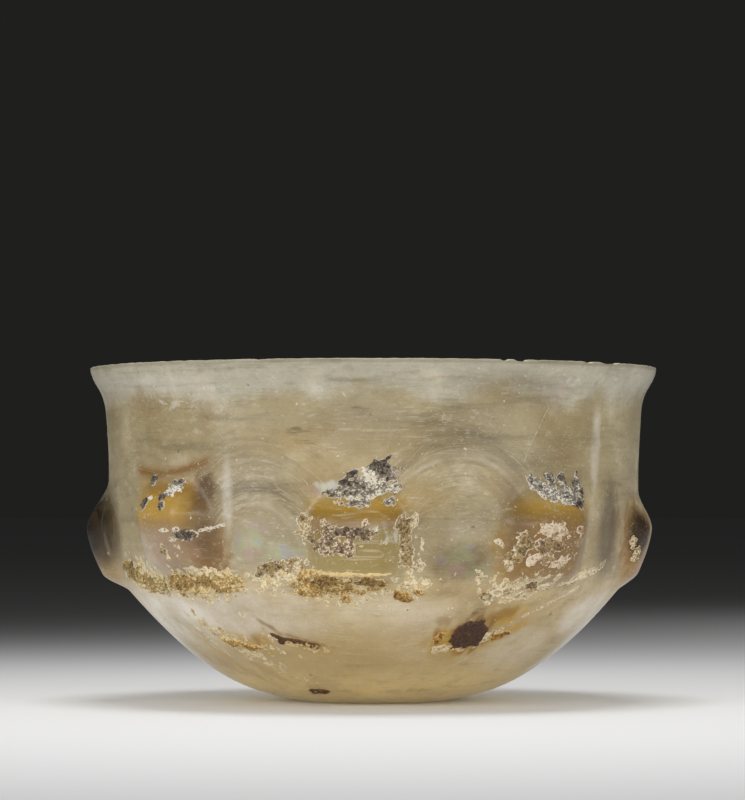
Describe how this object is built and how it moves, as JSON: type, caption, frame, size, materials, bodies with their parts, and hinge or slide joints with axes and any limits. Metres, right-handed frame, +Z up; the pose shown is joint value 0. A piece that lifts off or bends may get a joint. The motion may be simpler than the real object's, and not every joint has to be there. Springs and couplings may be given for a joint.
{
  "type": "ribbed bowl",
  "caption": "Round-bottomed blown-glass bowl with an everted cut rim, hollow ribs drawn out of its wall and weathering crusts clinging to its outer face.",
  "frame": {"origin": "centre of the flat that the bowl stands on", "axes": "+Z up out of the mouth, -Y towards the front rib, +X to the right of the front"},
  "size_m": [0.1408, 0.1412, 0.082],
  "materials": {
    "glass": "weathered, milky and faintly iridescent translucent glass, straw to amber",
    "grey_crust": "rough grey and white mineral crust",
    "tan_crust": "rough tan and ochre mineral crust",
    "iron_crust": "rough dark brown iron-stained crust"
  },
  "bodies": {
    "root": {"glass_bowl": "glass", "front_rib_shoulder_crust": "grey_crust", "front_rib_left_edge_crust": "tan_crust", "front_rib_middle_crust": "grey_crust", "front_rib_right_edge_crust": "tan_crust", "front_rib_low_left_crust": "tan_crust", "front_rib_ledge_crust": "tan_crust", "front_rib_ledge_end_crust": "tan_crust", "left_front_rib_chip_crust": "grey_crust", "left_front_rib_upper_speck": "grey_crust", "left_front_rib_outer_speck": "grey_crust", "left_front_rib_streak_crust": "grey_crust", "left_front_rib_low_speck": "tan_crust", "left_front_rib_band_crust": "tan_crust", "left_front_rib_ledge_crust": "tan_crust", "right_front_rib_shoulder_crust": "grey_crust", "right_front_rib_edge_crust": "tan_crust", "right_front_rib_middle_crust": "tan_crust", "right_front_rib_speck": "tan_crust", "right_front_rib_ledge_crust": "tan_crust", "right_front_rib_streak_crust": "tan_crust", "right_rib_crust": "grey_crust", "iron_spot_crust": "iron_crust", "iron_left_flake": "tan_crust", "iron_right_flake": "tan_crust", "low_left_crust": "tan_crust", "low_left_iron_crust": "iron_crust", "floor_edge_crust": "iron_crust"}
  },
  "joints": []
}
